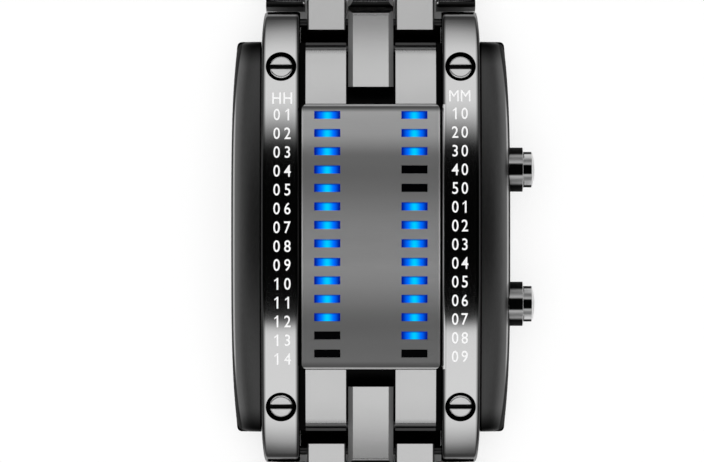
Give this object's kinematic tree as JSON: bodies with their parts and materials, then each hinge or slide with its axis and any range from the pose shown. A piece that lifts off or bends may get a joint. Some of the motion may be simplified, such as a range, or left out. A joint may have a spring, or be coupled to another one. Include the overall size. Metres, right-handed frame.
{
  "type": "binary wristwatch",
  "caption": "Wristwatch with steel link bracelet that tells the time on two columns of lit slots beside number scales; pushers, hinged links, folding clasp.",
  "frame": {"origin": "centre of the case back's flat face, which lies on the table", "axes": "+Z out of the display, +Y along the bracelet to the twelve o'clock strand, +X to the pushers"},
  "size_m": [0.035, 0.222, 0.0118],
  "materials": {
    "link_steel": "polished blocks with satin tops",
    "rail_steel": "high polish",
    "gunmetal_side_cover": "dark gunmetal plating, polished",
    "black_case": "black plated, satin",
    "case_steel": "satin",
    "satin_plate": "fine satin, brushed across",
    "blue_window": "translucent, lit from behind",
    "screw_and_pin_steel": "polished",
    "pusher_steel": "high polish",
    "spring_steel": "plain",
    "clasp_steel": "satin",
    "gasket_rubber": "matt",
    "board_laminate": "solder resist",
    "led_package": "clear lens",
    "board_part": "moulded",
    "holder_plastic": "moulded",
    "cell_steel": "bright nickel",
    "contact_brass": "bare"
  },
  "bodies": {
    "head": {"case_middle": "black_case", "hour_rail": "rail_steel", "minute_rail": "rail_steel", "left_side_cover": "gunmetal_side_cover", "right_side_cover": "gunmetal_side_cover", "display_plate": "satin_plate", "window_strips": "blue_window", "rail_screws": "screw_and_pin_steel", "upper_end_block": "link_steel", "lower_end_block": "link_steel", "lug_pins": "screw_and_pin_steel", "pusher_tubes": "pusher_steel", "upper_pusher_spring": "spring_steel", "lower_pusher_spring": "spring_steel", "case_back": "case_steel", "back_gasket": "gasket_rubber", "back_screws": "screw_and_pin_steel", "circuit_board": "board_laminate", "leds": "led_package", "board_parts": "board_part", "module_holder": "holder_plastic", "battery": "cell_steel", "battery_contact": "contact_brass"},
    "upper_pusher": {"upper_pusher": "pusher_steel"},
    "lower_pusher": {"lower_pusher": "pusher_steel"},
    "upper_link_1": {"upper_link_1": "link_steel"},
    "upper_link_2": {"upper_link_2": "link_steel"},
    "upper_link_3": {"upper_link_3": "link_steel"},
    "upper_link_4": {"upper_link_4": "link_steel"},
    "upper_link_5": {"upper_link_5": "link_steel"},
    "upper_link_6": {"upper_link_6": "link_steel"},
    "upper_link_7": {"upper_link_7": "link_steel"},
    "upper_link_8": {"upper_link_8": "link_steel"},
    "lower_link_1": {"lower_link_1": "link_steel"},
    "lower_link_2": {"lower_link_2": "link_steel"},
    "lower_link_3": {"lower_link_3": "link_steel"},
    "lower_link_4": {"lower_link_4": "link_steel"},
    "lower_link_5": {"lower_link_5": "link_steel"},
    "lower_link_6": {"lower_link_6": "link_steel"},
    "lower_link_7": {"lower_link_7": "link_steel"},
    "clasp_cover": {"clasp_cover": "clasp_steel", "clasp_far_pin": "screw_and_pin_steel", "clasp_latch_spring": "spring_steel"},
    "clasp_long_blade": {"clasp_long_blade": "clasp_steel", "clasp_near_pin": "screw_and_pin_steel"},
    "clasp_short_blade": {"clasp_short_blade": "clasp_steel"},
    "clasp_button_left": {"clasp_button_left": "pusher_steel"},
    "clasp_button_right": {"clasp_button_right": "pusher_steel"}
  },
  "joints": [
    {"name": "upper_link_1_pivot", "type": "hinge", "parent": "head", "child": "upper_link_1", "pos_m": [0, 0.0247, 0.00465], "axis": [-1, 0, 0], "range_deg": [-5.48, 26.72]},
    {"name": "upper_link_2_pivot", "type": "hinge", "parent": "upper_link_1", "child": "upper_link_2", "pos_m": [0, 0.03343, 0.00247], "axis": [-1, 0, 0], "range_deg": [-8.99, 23.21]},
    {"name": "upper_link_3_pivot", "type": "hinge", "parent": "upper_link_2", "child": "upper_link_3", "pos_m": [0, 0.04236, 0.0013], "axis": [-1, 0, 0], "range_deg": [-8.02, 24.18]},
    {"name": "upper_link_4_pivot", "type": "hinge", "parent": "upper_link_3", "child": "upper_link_4", "pos_m": [0, 0.05136, 0.0013], "axis": [-1, 0, 0], "range_deg": [-15.5, 16.7]},
    {"name": "upper_link_5_pivot", "type": "hinge", "parent": "upper_link_4", "child": "upper_link_5", "pos_m": [0, 0.06036, 0.0013], "axis": [-1, 0, 0], "range_deg": [-15.5, 16.7]},
    {"name": "upper_link_6_pivot", "type": "hinge", "parent": "upper_link_5", "child": "upper_link_6", "pos_m": [0, 0.06936, 0.0013], "axis": [-1, 0, 0], "range_deg": [-15.5, 16.7]},
    {"name": "upper_link_7_pivot", "type": "hinge", "parent": "upper_link_6", "child": "upper_link_7", "pos_m": [0, 0.07836, 0.0013], "axis": [-1, 0, 0], "range_deg": [-15.5, 16.7]},
    {"name": "upper_link_8_pivot", "type": "hinge", "parent": "upper_link_7", "child": "upper_link_8", "pos_m": [0, 0.08736, 0.0013], "axis": [-1, 0, 0], "range_deg": [-15.5, 16.7]},
    {"name": "lower_link_1_pivot", "type": "hinge", "parent": "head", "child": "lower_link_1", "pos_m": [0, -0.0247, 0.00465], "axis": [1, 0, 0], "range_deg": [-5.48, 26.72]},
    {"name": "lower_link_2_pivot", "type": "hinge", "parent": "lower_link_1", "child": "lower_link_2", "pos_m": [0, -0.03343, 0.00247], "axis": [1, 0, 0], "range_deg": [-8.99, 23.21]},
    {"name": "lower_link_3_pivot", "type": "hinge", "parent": "lower_link_2", "child": "lower_link_3", "pos_m": [0, -0.04236, 0.0013], "axis": [1, 0, 0], "range_deg": [-8.02, 24.18]},
    {"name": "lower_link_4_pivot", "type": "hinge", "parent": "lower_link_3", "child": "lower_link_4", "pos_m": [0, -0.05136, 0.0013], "axis": [1, 0, 0], "range_deg": [-15.5, 16.7]},
    {"name": "lower_link_5_pivot", "type": "hinge", "parent": "lower_link_4", "child": "lower_link_5", "pos_m": [0, -0.06036, 0.0013], "axis": [1, 0, 0], "range_deg": [-15.5, 16.7]},
    {"name": "lower_link_6_pivot", "type": "hinge", "parent": "lower_link_5", "child": "lower_link_6", "pos_m": [0, -0.06936, 0.0013], "axis": [1, 0, 0], "range_deg": [-15.5, 16.7]},
    {"name": "lower_link_7_pivot", "type": "hinge", "parent": "lower_link_6", "child": "lower_link_7", "pos_m": [0, -0.07836, 0.0013], "axis": [1, 0, 0], "range_deg": [-15.5, 16.7]},
    {"name": "clasp_pivot", "type": "hinge", "parent": "lower_link_7", "child": "clasp_cover", "pos_m": [0, -0.08736, 0.0013], "axis": [1, 0, 0], "range_deg": [-0.62, 31.58]},
    {"name": "clasp_long_blade_hinge", "type": "hinge", "parent": "clasp_cover", "child": "clasp_long_blade", "pos_m": [0, -0.12008, 0.0022], "axis": [1, 0, 0], "range_deg": [-170, 0]},
    {"name": "clasp_short_blade_hinge", "type": "hinge", "parent": "clasp_long_blade", "child": "clasp_short_blade", "pos_m": [0, -0.09431, 0.00206], "axis": [-1, 0, 0], "range_deg": [-135, 0]},
    {"name": "upper_pusher_press", "type": "slide", "parent": "head", "child": "upper_pusher", "axis": [-1, 0, 0], "range_m": [0, 0.001], "stiffness_N_per_m": 900, "springref_m": -0.0003, "deforming": ["upper_pusher_spring"]},
    {"name": "lower_pusher_press", "type": "slide", "parent": "head", "child": "lower_pusher", "axis": [-1, 0, 0], "range_m": [0, 0.001], "stiffness_N_per_m": 900, "springref_m": -0.0003, "deforming": ["lower_pusher_spring"]},
    {"name": "clasp_button_left_press", "type": "slide", "parent": "clasp_cover", "child": "clasp_button_left", "axis": [1, 0, 0], "range_m": [0, 0.0006], "stiffness_N_per_m": 700, "springref_m": -0.00018, "deforming": ["clasp_latch_spring"]},
    {"name": "clasp_button_right_press", "type": "slide", "parent": "clasp_cover", "child": "clasp_button_right", "axis": [-1, 0, 0], "range_m": [0, 0.0006], "stiffness_N_per_m": 700, "springref_m": -0.00018}
  ]
}
